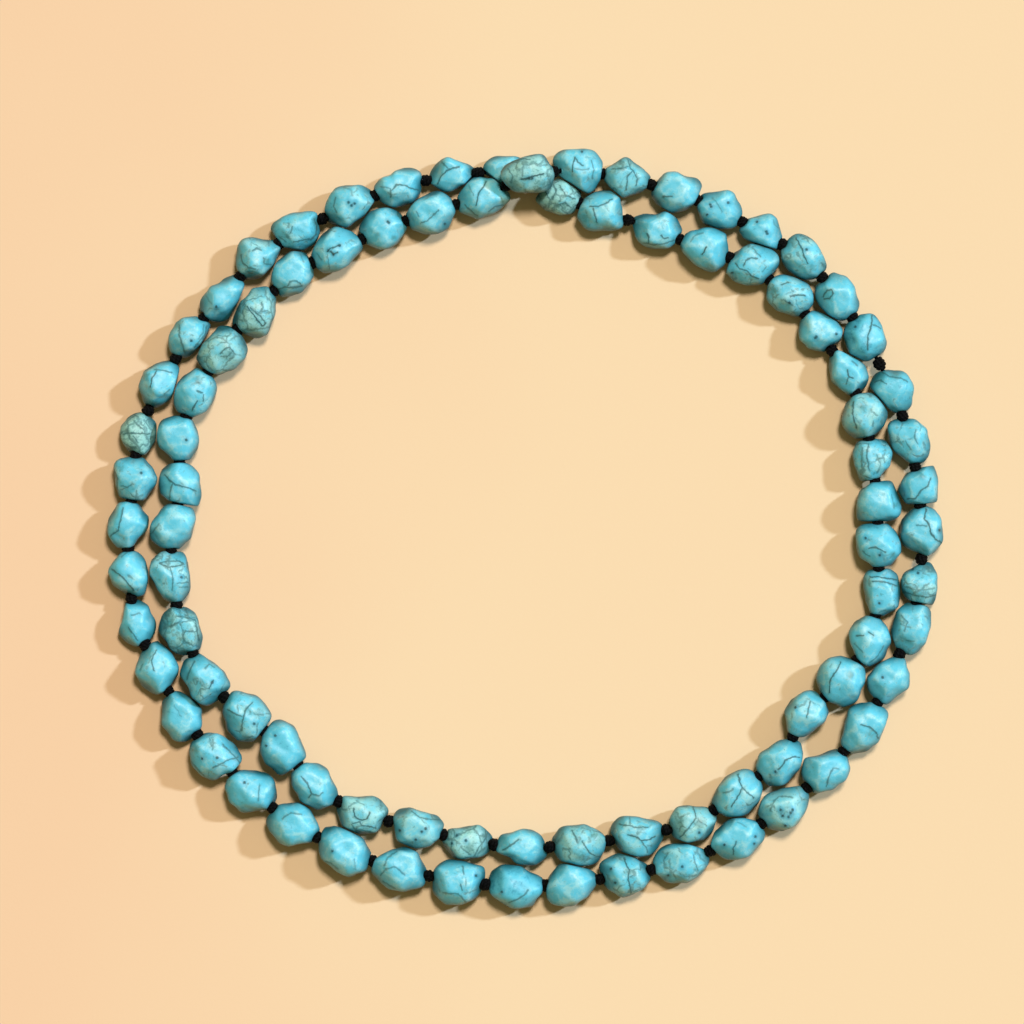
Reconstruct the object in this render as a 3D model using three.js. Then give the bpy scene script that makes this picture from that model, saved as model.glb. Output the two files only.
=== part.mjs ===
// Long knotted necklace of tumbled turquoise nuggets, laid down in two turns. Millimetres, Z up.
// One endless string: it runs once round the outer turn, once round the inner turn, and closes by
// riding over itself at the far side of the loop.

import * as THREE from 'three';

// Driving sizes
const STRING_LENGTH = 1200; // whole string, centre to centre through all its nuggets
const TALL_SHARE = 0.88; // height of a nugget over the smaller of its two plan sizes
const FLAT_SHARE = 0.88; // part of the lower half that stands above the worn flat it lies on
const KNOT_RADIUS = 1.55;
const KNOT_SEAT = 1.0; // centre of a knot to the bottom of the countersink on either side
const NUGGET_GAP = 1.0; // between two nuggets that follow each other on the string
const LAY_GAP = 0.3; // between the two turns, and where their cut ends meet
const CROSS_LIFT = 6.2; // rise of the nugget that rides over the crossing

// Mesh fineness: spokes of a ring, and the angles of a nugget's rings from its first hole
const SIDES = 10;
const RING_ANGLES = [13, 38, 63, 90, 117, 142, 167];

// How closely a nugget keeps to its facets, and how far its dents sit above its middle, in degrees
const EDGE_SHARPNESS = 7;
const DENT_RISE = 12;
const PROBE_ANGLE = 10; // between the rays that find how large a form is

// Crown and foot facets that every form has: around, up, reach
const CROWN = [
  [20, 48, 1.0], [105, 42, 0.98], [190, 50, 1.02], [285, 44, 0.97], [60, 90, 0.98],
  [50, -45, 1.0], [140, -45, 1.0], [230, -45, 1.0], [320, -45, 1.0], [0, -90, 0.98],
];

// Forms seen from above, nose at bearing 0. Sides: bearing, reach. Dents: bearing, depth, spread;
// a negative depth is a knob.
const FORMS = {
  round: {
    sides: [[0, 1], [46, 0.98], [90, 1.02], [137, 1], [181, 0.97], [226, 1.01], [270, 1], [316, 0.98]],
    dents: [],
  },
  block: {
    sides: [[0, 1], [90, 1], [180, 1], [270, 1], [45, 1.17], [135, 1.13], [225, 1.19], [315, 1.12]],
    dents: [],
  },
  drum: {
    sides: [[0, 0.96], [180, 0.96], [90, 1], [270, 1], [62, 1.02], [118, 1.03], [242, 1.03],
      [298, 1.02], [32, 1.13], [148, 1.15], [212, 1.13], [328, 1.15]],
    dents: [],
  },
  egg: {
    sides: [[0, 1.03], [40, 0.9], [320, 0.88], [82, 0.94], [278, 0.92], [128, 1], [232, 1.02], [180, 0.99]],
    dents: [],
  },
  oval: {
    sides: [[0, 1.2], [180, 1.2], [36, 1.06], [145, 1.05], [214, 1.06], [325, 1.07], [72, 0.93],
      [110, 0.92], [252, 0.93], [290, 0.93]],
    dents: [],
  },
  barrel: {
    sides: [[0, 1.12], [180, 1.12], [90, 0.9], [270, 0.9], [38, 1.18], [142, 1.2], [218, 1.18],
      [322, 1.2]],
    dents: [],
  },
  pear: {
    sides: [[0, 1.12], [52, 0.72], [308, 0.72], [95, 0.84], [262, 0.82], [140, 0.96], [220, 0.98],
      [180, 0.92]],
    dents: [],
  },
  wedge: {
    sides: [[0, 1.1], [60, 0.68], [300, 0.67], [120, 1.06], [240, 1.08], [180, 0.7]],
    dents: [],
  },
  diamond: {
    sides: [[0, 1.08], [50, 0.8], [132, 0.79], [230, 0.8], [311, 0.79], [180, 1.07], [90, 0.98], [270, 1]],
    dents: [],
  },
  oblique: {
    sides: [[14, 0.93], [194, 0.93], [106, 0.8], [286, 0.8], [60, 1.12], [240, 1.13], [150, 0.9],
      [330, 0.9]],
    dents: [],
  },
  shield: {
    sides: [[90, 0.74], [0, 0.98], [180, 0.96], [232, 0.88], [270, 0.98], [308, 0.88], [42, 1.1],
      [138, 1.1]],
    dents: [],
  },
  heart: {
    sides: [[0, 1.08], [50, 0.78], [310, 0.8], [95, 0.88], [262, 0.9], [140, 1], [222, 1], [180, 1]],
    dents: [[176, 0.16, 0.1]],
  },
  kidney: {
    sides: [[0, 1.05], [180, 1.05], [45, 1.02], [135, 1], [225, 0.95], [315, 0.95], [90, 0.95], [270, 0.88]],
    dents: [[88, 0.17, 0.12]],
  },
  knob: {
    sides: [[0, 0.95], [45, 0.94], [90, 0.97], [135, 0.98], [180, 0.95], [225, 0.98], [270, 0.96],
      [315, 0.95]],
    dents: [[0, -0.26, 0.07]],
  },
  lobed: {
    sides: [[0, 0.95], [60, 0.95], [120, 0.98], [180, 0.96], [240, 0.97], [300, 0.95]],
    dents: [[25, -0.1, 0.08], [150, -0.12, 0.1], [262, -0.1, 0.08], [205, 0.07, 0.05]],
  },
};

// The nuggets in string order as they lie, on a square layout grid with x to the right and y towards
// the near side: left, right, far and near edge, form, bearing of the nose from +X towards +Y
const OUTER_TURN = [
  [503, 555, 157, 192, 'block', 0], [553, 603, 150, 189, 'shield', 345],
  [604, 649, 158, 197, 'diamond', 350],
  [654, 704, 173, 213, 'knob', 25], [701, 740, 191, 229, 'block', 350], [740, 781, 214, 252, 'wedge', 312],
  [787, 825, 235, 282, 'drum', 90], [819, 859, 274, 319, 'egg', 110], [846, 886, 313, 360, 'pear', 80],
  [874, 913, 370, 411, 'round', 0], [892, 929, 417, 460, 'egg', 115], [899, 938, 463, 510, 'kidney', 75],
  [904, 943, 506, 555, 'egg', 95], [903, 937, 565, 609, 'drum', 90], [893, 932, 601, 654, 'oval', 72],
  [868, 910, 657, 702, 'diamond', 20], [843, 888, 703, 755, 'oval', 62], [803, 849, 749, 792, 'oval', 30],
  [763, 807, 786, 831, 'knob', 50], [713, 765, 816, 859, 'diamond', 350], [656, 707, 845, 883, 'egg', 200],
  [601, 651, 854, 896, 'diamond', 340], [547, 595, 863, 906, 'wedge', 5], [490, 541, 865, 907, 'pear', 15],
  [431, 487, 861, 905, 'knob', 15], [372, 425, 847, 891, 'heart', 185], [321, 367, 828, 876, 'block', 15],
  [267, 320, 803, 846, 'egg', 345], [226, 277, 771, 812, 'oval', 155], [190, 241, 734, 780, 'barrel', 145],
  [162, 201, 691, 744, 'oval', 120], [136, 176, 641, 693, 'pear', 110], [118, 152, 601, 646, 'pear', 100],
  [108, 147, 550, 597, 'egg', 60], [108, 148, 503, 548, 'wedge', 90], [113, 154, 459, 499, 'lobed', 30],
  [120, 154, 412, 455, 'egg', 90], [140, 179, 365, 404, 'oval', 60], [170, 209, 316, 356, 'egg', 245],
  [199, 242, 275, 316, 'kidney', 230], [237, 281, 238, 278, 'egg', 255], [270, 322, 213, 250, 'oval', 15],
  [327, 373, 185, 226, 'round', 30], [375, 418, 168, 205, 'egg', 190], [431, 475, 158, 190, 'wedge', 355],
  [480, 530, 156, 187, 'drum', 0],
];
const INNER_TURN = [
  [535, 583, 179, 214, 'knob', 0], [577, 624, 192, 230, 'egg', 195], [634, 681, 212, 248, 'kidney', 10],
  [683, 727, 228, 273, 'heart', 175], [725, 775, 244, 284, 'egg', 200], [769, 809, 275, 314, 'round', 15],
  [800, 840, 313, 350, 'round', 20], [830, 866, 352, 395, 'pear', 285], [843, 887, 393, 438, 'oblique', 45],
  [854, 892, 439, 484, 'pear', 262], [857, 899, 479, 524, 'block', 350], [856, 899, 524, 567, 'shield', 0],
  [862, 898, 568, 617, 'egg', 275], [850, 889, 616, 667, 'round', 100], [817, 868, 658, 703, 'pear', 20],
  [785, 828, 692, 736, 'oblique', 45], [758, 800, 738, 782, 'block', 40], [715, 758, 771, 816, 'round', 60],
  [669, 719, 806, 844, 'egg', 355], [612, 661, 816, 855, 'drum', 350], [555, 605, 826, 866, 'lobed', 20],
  [499, 545, 829, 867, 'pear', 190], [441, 493, 825, 858, 'oblique', 15], [391, 443, 808, 847, 'egg', 350],
  [336, 385, 797, 834, 'shield', 0], [291, 336, 763, 808, 'oval', 140], [260, 305, 720, 773, 'oval', 125],
  [224, 272, 694, 744, 'barrel', 140], [182, 229, 655, 706, 'oval', 130], [162, 203, 605, 657, 'oval', 112],
  [149, 190, 551, 605, 'egg', 280], [150, 195, 504, 550, 'drum', 60], [160, 202, 461, 511, 'drum', 85],
  [158, 198, 414, 464, 'drum', 90], [174, 217, 368, 417, 'oval', 68], [194, 246, 328, 375, 'oblique', 30],
  [231, 274, 285, 338, 'kidney', 65], [273, 312, 251, 295, 'egg', 80], [313, 360, 228, 272, 'diamond', 15],
  [361, 407, 211, 250, 'wedge', 15], [408, 452, 191, 234, 'pear', 65], [457, 508, 177, 219, 'diamond', 335],
];

const vec = (x, y, z) => new THREE.Vector3(x, y, z);
const bearing = (around, up) => {
  const [a, e] = [THREE.MathUtils.degToRad(around), THREE.MathUtils.degToRad(up)];
  return vec(Math.cos(e) * Math.cos(a), Math.cos(e) * Math.sin(a), Math.sin(e));
};

// Distance from the centre of a form to its surface: a rounded polyhedron with its dents
function formReach(form, dir) {
  const unit = dir.clone().normalize();
  let sum = 0;
  for (const facet of form.facets) {
    sum += Math.max(0, facet.normal.dot(unit) / facet.reach) ** EDGE_SHARPNESS;
  }
  let reach = sum ** (-1 / EDGE_SHARPNESS);
  for (const dent of form.dents) {
    reach *= 1 - dent.depth * Math.exp((dent.axis.dot(unit) - 1) / dent.spread);
  }
  return reach / dir.length();
}

// A form turned to its bearing, with the box that it fills
function turnedForm(name, nose) {
  const { sides, dents } = FORMS[name];
  const facets = [...sides.map(([around, reach]) => [around, 0, reach]), ...CROWN];
  const form = {
    facets: facets.map(([around, up, reach]) => ({ normal: bearing(around + nose, up), reach })),
    dents: dents.map(([around, depth, spread]) => {
      const axis = bearing(around + nose, DENT_RISE);
      return { axis, depth, spread };
    }),
  };
  form.box = new THREE.Box3();
  for (let up = -90; up <= 90; up += PROBE_ANGLE) {
    for (let around = 0; around < 360; around += PROBE_ANGLE) {
      const dir = bearing(around, up);
      form.box.expandByPoint(dir.multiplyScalar(formReach(form, dir)));
    }
  }
  return form;
}

// Grid places to millimetres, each nugget standing on its flat
const rows = [...OUTER_TURN, ...INNER_TURN];
const middles = rows.map(([left, right, far, near]) => vec((left + right) / 2, -(far + near) / 2, 0));
const gridLength = middles.reduce((sum, m, i) => sum + m.distanceTo(middles[(i + 1) % middles.length]), 0);
const STEP = STRING_LENGTH / gridLength;

const nuggets = rows.map(([left, right, far, near, name, nose], i) => {
  const wide = (right - left) * STEP;
  const deep = (near - far) * STEP;
  const half = vec(wide, deep, TALL_SHARE * Math.min(wide, deep)).multiplyScalar(0.5);
  const form = turnedForm(name, nose);
  const scale = half.clone().multiplyScalar(2).divide(form.box.getSize(vec()));
  const centre = middles[i].clone().multiplyScalar(STEP);
  centre.z = half.z * FLAT_SHARE + (i === 0 ? CROSS_LIFT : 0);
  centre.sub(form.box.getCenter(vec()).multiply(scale));
  return { form, scale, centre, limits: [] };
});

const rawReach = (nugget, dir) => formReach(nugget.form, dir.clone().divide(nugget.scale));
const count = nuggets.length;

// Knots sit midway in the space between neighbours; each nugget stays on its own side of it
const knots = nuggets.map((nugget, i) => {
  const next = nuggets[(i + 1) % count];
  const dir = next.centre.clone().sub(nugget.centre);
  const span = dir.length();
  dir.normalize();
  const before = (rawReach(nugget, dir) + span - rawReach(next, dir.clone().negate())) / 2;
  nugget.limits.push({ normal: dir, reach: before - NUGGET_GAP / 2 });
  next.limits.push({ normal: dir.clone().negate(), reach: span - before - NUGGET_GAP / 2 });
  return nugget.centre.clone().addScaledVector(dir, before);
});

// Where the turns lie against each other a nugget is worn back from its neighbour and its knots
const beside = (i, j) => (i - j + count) % count === 1 || (j - i + count) % count === 1;
nuggets.forEach((nugget, i) => {
  nuggets.forEach((other, j) => {
    if (i === j || beside(i, j)) return;
    const dir = other.centre.clone().sub(nugget.centre);
    const span = dir.length();
    dir.normalize();
    const overlap = rawReach(nugget, dir) + rawReach(other, dir.clone().negate()) - span;
    nugget.limits.push({ normal: dir, reach: rawReach(nugget, dir) - (overlap + LAY_GAP) / 2 });
  });
  knots.forEach((knot, k) => {
    if (k === i || (k + 1) % count === i) return;
    const dir = knot.clone().sub(nugget.centre);
    const reach = dir.length() - KNOT_RADIUS - LAY_GAP;
    nugget.limits.push({ normal: dir.normalize(), reach });
  });
  nugget.limits.push({ normal: vec(0, 0, -1), reach: nugget.centre.z });
});

function surfacePoint(nugget, dir, ceiling) {
  let reach = Math.min(rawReach(nugget, dir), ceiling);
  for (const limit of nugget.limits) {
    const lean = limit.normal.dot(dir);
    if (lean > 0) reach = Math.min(reach, limit.reach / lean);
  }
  return nugget.centre.clone().addScaledVector(dir, reach);
}

const spokes = (side, up, radius = 1) => Array.from({ length: SIDES }, (_, k) => {
  const a = (2 * Math.PI * k) / SIDES;
  return side.clone().multiplyScalar(Math.cos(a) * radius).addScaledVector(up, Math.sin(a) * radius);
});

function knotRing(k, along) {
  const knot = knots[k];
  const axis = nuggets[(k + 1) % count].centre.clone().sub(nuggets[k].centre).normalize();
  const side = vec().crossVectors(axis, vec(0, 0, 1)).normalize();
  const up = vec().crossVectors(side, axis);
  const middle = knot.clone().addScaledVector(axis, along);
  return spokes(side, up, KNOT_RADIUS).map((spoke) => spoke.add(middle));
}

// Rings of one nugget from its first hole to its last, aimed so that both holes face their knots
function nuggetRings(i) {
  const nugget = nuggets[i];
  const [from, to] = [knots[(i - 1 + count) % count], knots[i]];
  const axis = to.clone().sub(from).normalize();
  const side = vec().crossVectors(axis, vec(0, 0, 1)).normalize();
  const up = vec().crossVectors(side, axis);
  const back = from.clone().sub(nugget.centre);
  const ahead = to.clone().sub(nugget.centre);
  const offset = back.clone().addScaledVector(axis, -back.dot(axis));
  return RING_ANGLES.map((angle, j) => {
    const turn = THREE.MathUtils.degToRad(angle);
    const end = angle < 90 ? back : ahead;
    const atHole = j === 0 || j === RING_ANGLES.length - 1;
    const aim = axis.clone().multiplyScalar(-Math.cos(turn))
      .addScaledVector(offset, Math.cos(turn) ** 2 / Math.abs(end.dot(axis)));
    const ceiling = atHole ? end.length() - KNOT_SEAT : Infinity;
    return spokes(side, up, Math.sin(turn))
      .map((spoke) => surfacePoint(nugget, spoke.add(aim).normalize(), ceiling));
  });
}

// One turn as a single closed skin: rings joined side to side, half a knot closing either end
function turnGeometry(first, length) {
  const rings = [knotRing((first - 1 + count) % count, LAY_GAP / 2)];
  for (let n = 0; n < length; n += 1) {
    rings.push(...nuggetRings(first + n));
    const last = n === length - 1;
    rings.push(knotRing(first + n, last ? -LAY_GAP / 2 : 0));
  }
  const points = rings.flat();
  const faces = [];
  for (let r = 0; r < rings.length - 1; r += 1) {
    for (let k = 0; k < SIDES; k += 1) {
      const [a, b] = [r * SIDES + k, r * SIDES + ((k + 1) % SIDES)];
      faces.push(a, b + SIDES, b, a, a + SIDES, b + SIDES);
    }
  }
  const tail = points.length - SIDES;
  for (let k = 1; k < SIDES - 1; k += 1) faces.push(0, k, k + 1, tail, tail + k + 1, tail + k);
  const geometry = new THREE.BufferGeometry();
  geometry.setAttribute('position', new THREE.Float32BufferAttribute(points.flatMap((p) => p.toArray()), 3));
  geometry.setIndex(faces);
  return geometry;
}

const stone = (color) => new THREE.MeshStandardMaterial({ color, roughness: 0.25, metalness: 0 });
const outer = new THREE.Mesh(turnGeometry(0, OUTER_TURN.length), stone(0x5fb8cc));
outer.name = 'outer_turn';
const inner = new THREE.Mesh(turnGeometry(OUTER_TURN.length, INNER_TURN.length), stone(0x74c3cf));
inner.name = 'inner_turn';

// Origin under the middle of the loop
const box = new THREE.Box3().setFromObject(outer).union(new THREE.Box3().setFromObject(inner));
const middle = box.getCenter(vec());
for (const mesh of [outer, inner]) {
  mesh.geometry.translate(-middle.x, -middle.y, -box.min.z);
  mesh.geometry.computeVertexNormals();
}

const group = new THREE.Group();
group.name = 'beaded_necklace';
group.add(outer, inner);

export default group;
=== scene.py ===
"""Looks of a long knotted necklace of tumbled turquoise nuggets, laid down in two turns.

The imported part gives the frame. Everything is in metres, Z up, with the origin on the floor under the
middle of the loop. The string is laid out in steps of a square grid, as in the part's own source.
"""

import bpy
import numpy as np
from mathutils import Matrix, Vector


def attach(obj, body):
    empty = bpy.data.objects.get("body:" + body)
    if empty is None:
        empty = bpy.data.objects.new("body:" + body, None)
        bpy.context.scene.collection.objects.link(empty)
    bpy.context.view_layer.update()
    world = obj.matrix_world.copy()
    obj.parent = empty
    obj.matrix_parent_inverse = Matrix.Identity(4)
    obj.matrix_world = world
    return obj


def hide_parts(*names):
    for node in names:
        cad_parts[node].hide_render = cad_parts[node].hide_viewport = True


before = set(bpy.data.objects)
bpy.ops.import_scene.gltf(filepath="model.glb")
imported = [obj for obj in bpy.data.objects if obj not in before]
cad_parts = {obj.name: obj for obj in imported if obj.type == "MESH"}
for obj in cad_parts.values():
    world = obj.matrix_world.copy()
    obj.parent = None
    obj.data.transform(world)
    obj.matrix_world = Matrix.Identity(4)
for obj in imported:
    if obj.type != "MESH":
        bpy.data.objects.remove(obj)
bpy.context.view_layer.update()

# Nuggets: pebbles of turquoise stone, sawn, tumbled until their edges are round, drilled through and
# polished. Each keeps a few facets, and dark matrix runs through it as veins, pits and green mottling.
# A row is: corners of the nugget from above in steps, going clockwise, then how green, mottled and pale
# it is, its veins (darkness, then x and y of each point), its pits, and its stains (x, y and radius).
OUTER_NUGGETS = [
    ((502, 175, 505, 167, 516, 161, 521, 158, 545, 157, 551, 164, 555, 177, 553, 186, 545, 190, 522, 193,
     512, 190, 505, 183), 0.4, 0.55, 0.8, [(1, 521, 181, 528, 180, 536, 177, 544, 175), (0.8, 517, 162,
     522, 160, 530, 161), (0.6, 508, 170, 513, 177, 511, 185), (0.5, 533, 163, 540, 168, 547, 166)],
     [(529, 180), (532, 180)], [(541, 186, 7), (513, 186, 6)]),
    ((552, 162, 556, 154, 563, 150, 585, 150, 595, 152, 601, 161, 602, 173, 597, 184, 589, 189, 582, 188,
     568, 180, 557, 172), 0.1, 0.2, 0, [(0.9, 575, 158, 573, 164, 573, 172), (0.8, 575, 158, 578, 163,
     583, 166), (0.6, 591, 161, 594, 170, 592, 179), (0.5, 575, 169, 582, 171, 589, 169)], [(582, 152)], []),
    ((604, 176, 607, 170, 618, 162, 624, 158, 629, 159, 640, 168, 649, 177, 649, 185, 640, 191, 622, 197,
     613, 190, 606, 182), 0.3, 0.4, 0, [(0.8, 628, 160, 630, 168, 634, 173, 637, 179, 636, 186),
     (0.8, 632, 172, 627, 177, 627, 184, 626, 190), (0.7, 612, 170, 620, 169, 628, 167)], [],
     [(618, 169, 6)]),
    ((654, 188, 660, 179, 668, 174, 677, 173, 687, 177, 697, 178, 704, 183, 704, 190, 696, 196, 691, 204,
     684, 210, 672, 212, 660, 208, 655, 198), 0, 0.05, 0.3, [(0.8, 663, 197, 672, 197)], [], []),
    ((702, 194, 712, 192, 727, 191, 734, 195, 739, 206, 740, 213, 734, 223, 728, 227, 716, 228, 706, 226,
     702, 218, 700, 206), 0.05, 0.1, 0, [(0.4, 712, 198, 718, 205, 722, 212)], [(710, 205), (711, 207),
     (728, 203), (707, 215)], []),
    ((740, 227, 743, 221, 752, 220, 762, 215, 770, 214, 777, 219, 780, 230, 781, 242, 777, 249, 768, 248,
     752, 242, 743, 237), 0.05, 0.1, 0, [(0.4, 773, 220, 775, 225, 779, 228)], [(766, 232), (767, 234),
     (757, 222)], []),
    ((786, 243, 791, 236, 800, 234, 808, 237, 817, 246, 823, 257, 825, 265, 819, 270, 812, 275, 804, 281,
     797, 276, 790, 268, 787, 257), 0.2, 0.3, 0.1, [(0.9, 796, 238, 801, 248, 804, 257, 807, 264)],
     [(806, 250)], [(811, 268, 5)]),
    ((819, 288, 823, 278, 832, 274, 846, 278, 854, 288, 859, 303, 855, 313, 841, 319, 829, 316, 822, 303), 0,
     0.05, 0, [(0.8, 823, 297, 826, 291, 831, 290, 833, 294, 829, 299, 824, 299)], [], []),
    ((846, 333, 851, 325, 863, 315, 871, 313, 881, 325, 886, 341, 883, 352, 872, 358, 864, 362, 851, 353),
     0.05, 0.05, -0.5, [(0.9, 872, 316, 871, 325, 868, 333, 867, 341, 867, 350), (0.7, 871, 325, 876, 326,
     880, 329)], [(855, 327)], []),
    ((874, 386, 878, 375, 888, 370, 902, 371, 911, 381, 913, 393, 908, 406, 898, 411, 888, 408, 877, 395),
     0.1, 0.2, -0.2, [(0.7, 882, 372, 890, 377, 900, 378, 907, 382), (0.7, 875, 382, 880, 380, 886, 384)],
     [], [(895, 374, 6)]),
    ((892, 440, 895, 425, 902, 417, 912, 420, 926, 429, 930, 443, 928, 457, 919, 460, 902, 456, 893, 449),
     0.05, 0.3, 0, [(0.6, 915, 430, 914, 437, 917, 444), (0.5, 905, 441, 910, 449)], [], []),
    ((899, 490, 906, 476, 917, 470, 924, 463, 932, 465, 937, 477, 938, 492, 936, 508, 920, 503, 907, 502),
     0.05, 0.15, 0, [(0.8, 930, 478, 927, 486, 921, 490, 915, 498, 907, 499)], [], [(922, 476, 4)]),
    ((904, 540, 907, 523, 914, 509, 922, 506, 934, 510, 941, 521, 943, 539, 939, 551, 927, 555, 912, 551), 0,
     0.1, 0, [(0.9, 926, 509, 924, 519, 928, 524, 930, 533, 935, 539, 943, 544), (0.6, 916, 525, 926, 526)],
     [(939, 530)], [(939, 530, 4)]),
    ((903, 583, 906, 571, 917, 565, 929, 565, 936, 575, 937, 592, 937, 602, 931, 609, 918, 605, 906, 598),
     0.25, 0.45, 0.1, [(0.7, 904, 592, 914, 595, 926, 597, 936, 595), (0.5, 904, 586, 918, 590, 934, 588)],
     [(913, 569), (918, 573)], [(920, 596, 8)]),
    ((893, 640, 896, 620, 901, 607, 912, 601, 923, 603, 931, 612, 930, 628, 924, 645, 913, 654, 900, 649),
     0.1, 0.25, 0, [(0.6, 901, 615, 907, 622, 904, 631), (0.5, 900, 624, 910, 627),
     (0.5, 906, 640, 914, 641)], [], []),
    ((868, 679, 877, 668, 890, 657, 901, 662, 909, 676, 907, 688, 896, 696, 888, 702, 877, 699, 870, 688), 0,
     0.05, -0.1, [], [(882, 677)], []),
    ((843, 740, 847, 722, 854, 711, 866, 704, 877, 705, 887, 714, 885, 726, 877, 741, 866, 752, 853, 754,
     846, 748), 0.05, 0.05, 0, [(0.8, 860, 724, 869, 727, 875, 731, 878, 738)], [], [(869, 733, 5)]),
    ((803, 772, 808, 760, 825, 754, 838, 749, 844, 755, 849, 768, 844, 780, 831, 789, 817, 792, 807, 784), 0,
     0.05, 0, [(0.7, 832, 768, 828, 776, 826, 786), (0.5, 832, 768, 838, 768)], [], []),
    ((762, 812, 765, 805, 773, 797, 785, 792, 792, 790, 796, 787, 802, 789, 806, 798, 806, 806, 800, 819,
     792, 827, 783, 831, 771, 827, 764, 819), 0.35, 0.3, 0.2, [(0.6, 770, 810, 773, 801, 779, 796, 786, 796,
     792, 797)], [(780, 809), (782, 815), (790, 812), (792, 809), (788, 816), (785, 825)], [(790, 812, 6),
     (781, 812, 5)]),
    ((713, 842, 718, 832, 732, 817, 742, 819, 760, 828, 765, 836, 757, 848, 748, 856, 738, 859, 722, 855), 0,
     0.05, 0, [(0.8, 736, 841, 733, 848, 733, 854), (0.4, 738, 822, 746, 826)], [(755, 836), (754, 843),
     (724, 844)], []),
    ((656, 867, 660, 856, 670, 847, 683, 845, 700, 846, 705, 854, 707, 864, 699, 876, 688, 883, 668, 881),
     0.15, 0.35, 0.1, [(0.6, 668, 853, 664, 860, 665, 868), (0.6, 693, 855, 695, 863, 698, 870)],
     [(682, 866), (668, 875)], [(682, 878, 9)]),
    ((601, 873, 609, 862, 619, 854, 633, 860, 646, 869, 651, 877, 641, 889, 632, 895, 622, 896, 611, 889),
     0.2, 0.35, 0.1, [(0.9, 624, 858, 627, 866, 629, 869, 628, 878, 631, 893), (0.6, 628, 871, 632, 870,
     634, 874, 630, 876)], [(611, 868), (615, 882)], []),
    ((548, 893, 552, 876, 559, 866, 567, 863, 580, 867, 592, 875, 595, 883, 586, 895, 575, 905, 563, 906,
     551, 900), 0, 0, 0.1, [], [], []),
    ((490, 888, 493, 874, 503, 865, 515, 867, 530, 875, 541, 880, 538, 893, 532, 906, 512, 908, 500, 901), 0,
     0.1, -0.4, [(0.7, 509, 902, 516, 899, 523, 895, 528, 889)], [(502, 891)], []),
    ((432, 880, 438, 869, 450, 861, 465, 864, 482, 869, 487, 875, 482, 883, 477, 892, 472, 900, 460, 905,
     445, 902, 434, 893), 0.05, 0.2, 0, [(0.6, 443, 892, 452, 893, 458, 892, 466, 902),
     (0.7, 463, 866, 464, 873), (0.7, 461, 883, 463, 889)], [(476, 875)], []),
    ((376, 863, 392, 852, 405, 847, 415, 850, 419, 862, 425, 873, 420, 886, 403, 891, 388, 887, 376, 876,
     372, 868), 0.1, 0.1, 0.2, [(0.6, 381, 875, 386, 868, 396, 866, 405, 874), (0.6, 385, 865, 388, 857,
     397, 851), (0.6, 383, 881, 395, 888)], [], []),
    ((320, 830, 335, 828, 350, 832, 362, 838, 367, 853, 364, 868, 347, 876, 332, 867, 321, 860, 323, 845), 0,
     0.05, 0.2, [(0.5, 322, 860, 330, 862, 338, 868), (0.4, 355, 858, 356, 868)], [(333, 850)], []),
    ((268, 814, 280, 807, 300, 803, 307, 808, 315, 822, 320, 832, 310, 840, 290, 846, 278, 840, 268, 825),
     0.05, 0.05, 0, [(0.6, 283, 818, 291, 812, 302, 814)], [], []),
    ((228, 777, 240, 771, 260, 774, 272, 783, 276, 797, 272, 806, 265, 810, 243, 812, 231, 803, 226, 788),
     0.05, 0.1, -0.1, [(0.6, 260, 785, 259, 800)], [(245, 782)], []),
    ((192, 745, 202, 736, 217, 734, 228, 743, 241, 757, 241, 769, 225, 773, 215, 779, 200, 774, 191, 762),
     0.1, 0.3, 0.1, [(0.7, 223, 744, 236, 757, 242, 765), (0.7, 214, 767, 228, 760, 238, 757),
     (0.6, 192, 762, 204, 775)], [(203, 758), (218, 757)], [(196, 748, 5)]),
    ((163, 701, 172, 691, 180, 694, 194, 701, 201, 710, 198, 728, 188, 743, 173, 738, 163, 726), 0, 0.05,
     0.1, [(0.3, 175, 705, 182, 716)], [], []),
    ((150, 643, 157, 641, 165, 646, 173, 658, 175, 675, 170, 686, 157, 693, 142, 687, 136, 673, 140, 658),
     0.05, 0.1, 0, [(0.8, 157, 650, 152, 660, 155, 670), (0.5, 143, 664, 141, 670)], [], []),
    ((128, 604, 138, 601, 147, 606, 151, 620, 150, 641, 136, 645, 124, 641, 118, 632, 124, 618), 0.05, 0.15,
     0, [(0.7, 129, 627, 138, 640), (0.6, 132, 615, 140, 613)], [], []),
    ((121, 555, 128, 550, 138, 553, 144, 562, 147, 580, 141, 597, 128, 591, 113, 585, 108, 573, 113, 563),
     0.1, 0.15, 0, [(0.8, 112, 569, 124, 577, 134, 590), (0.5, 129, 551, 122, 557),
     (0.5, 129, 575, 132, 577)], [], []),
    ((118, 505, 128, 503, 138, 507, 148, 520, 141, 533, 130, 547, 114, 547, 109, 535, 109, 518), 0.05, 0.1,
     0, [(0.8, 124, 508, 121, 522, 119, 530, 111, 536)], [], []),
    ((113, 468, 118, 459, 142, 460, 151, 468, 154, 480, 149, 490, 143, 499, 131, 497, 119, 496, 116, 484),
     0.1, 0.3, 0.2, [(0.8, 114, 470, 118, 478, 117, 492, 120, 498), (0.6, 122, 486, 128, 487, 133, 484)],
     [(142, 473)], [(121, 468, 5)]),
    ((128, 418, 140, 413, 150, 413, 154, 426, 153, 440, 148, 449, 140, 455, 128, 449, 121, 438, 121, 426),
     0.6, 0.7, 1, [(0.8, 124, 434, 134, 433, 150, 434), (0.7, 134, 421, 144, 430),
     (0.7, 134, 436, 138, 442)], [], []),
    ((144, 371, 155, 365, 176, 364, 179, 378, 170, 398, 158, 404, 146, 400, 140, 388), 0.1, 0.2, 0.1,
     [(0.9, 157, 371, 153, 378, 151, 387), (0.7, 155, 370, 163, 370, 172, 373), (0.6, 165, 394, 170, 390)],
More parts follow.
